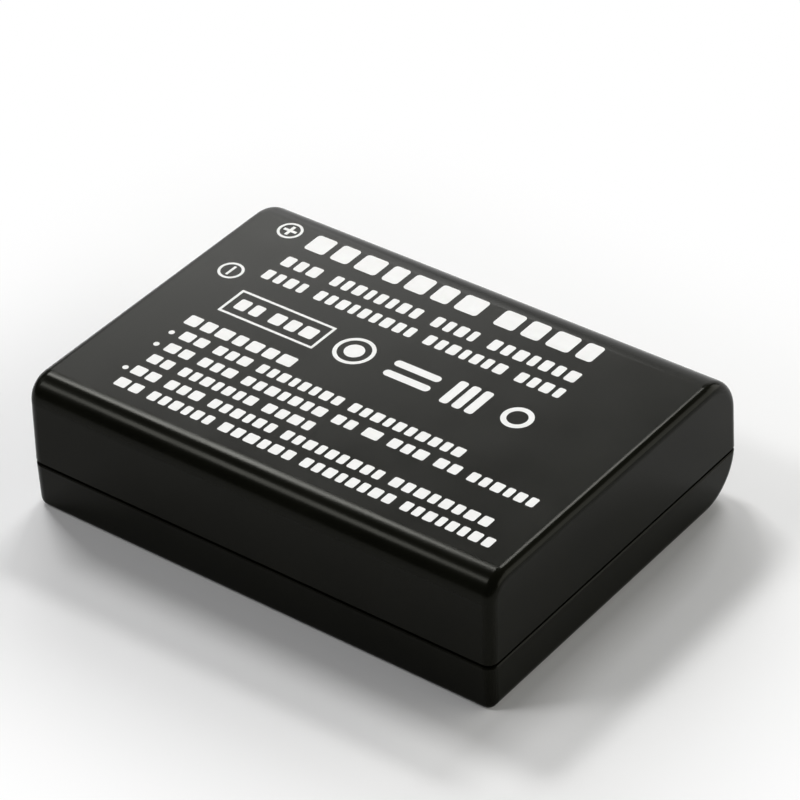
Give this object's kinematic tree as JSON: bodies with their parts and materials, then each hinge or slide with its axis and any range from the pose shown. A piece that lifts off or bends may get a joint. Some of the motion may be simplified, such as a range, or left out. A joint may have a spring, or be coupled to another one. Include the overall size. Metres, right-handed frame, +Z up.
{
  "type": "camera battery",
  "caption": "Flat rechargeable camera battery: a welded black case, rounded along its keyed side, with recessed contacts in one end, that slides into a camera or charger.",
  "frame": {"origin": "middle of the resting face, below the middle of the pack", "axes": "+X along the pack to its plain end, +Y across to the rounded keyed side, +Z up to the printed face"},
  "size_m": [0.053, 0.0384, 0.014],
  "materials": {
    "case_plastic": "satin",
    "foam": "matte",
    "tape": "matte",
    "insulating_paper": "matte",
    "board_laminate": "satin",
    "chip_plastic": "matte",
    "chip_ceramic": "matte",
    "contact_gold": "plated",
    "cell_aluminium": "satin",
    "gasket_plastic": "satin",
    "terminal_steel": "plated",
    "tab_nickel": "rolled"
  },
  "bodies": {
    "root": {"bottom_pad": "foam", "cap_insulator": "insulating_paper", "capacitors": "chip_ceramic", "cell_tape": "tape", "circuit_board": "board_laminate", "data_contact": "contact_gold", "end_pad": "foam", "lower_case": "case_plastic", "lower_cell_can": "cell_aluminium", "lower_cell_gasket": "gasket_plastic", "lower_cell_negative_tab": "tab_nickel", "lower_cell_positive_tab": "tab_nickel", "lower_cell_rivet": "terminal_steel", "negative_contact": "contact_gold", "positive_contact": "contact_gold", "power_transistor": "chip_plastic", "protection_chip": "chip_plastic", "resistors": "chip_ceramic", "temperature_contact": "contact_gold", "thermistor": "chip_ceramic", "top_pad": "foam", "upper_case": "case_plastic", "upper_cell_can": "cell_aluminium", "upper_cell_gasket": "gasket_plastic", "upper_cell_negative_tab": "tab_nickel", "upper_cell_positive_tab": "tab_nickel", "upper_cell_rivet": "terminal_steel"}
  },
  "joints": []
}
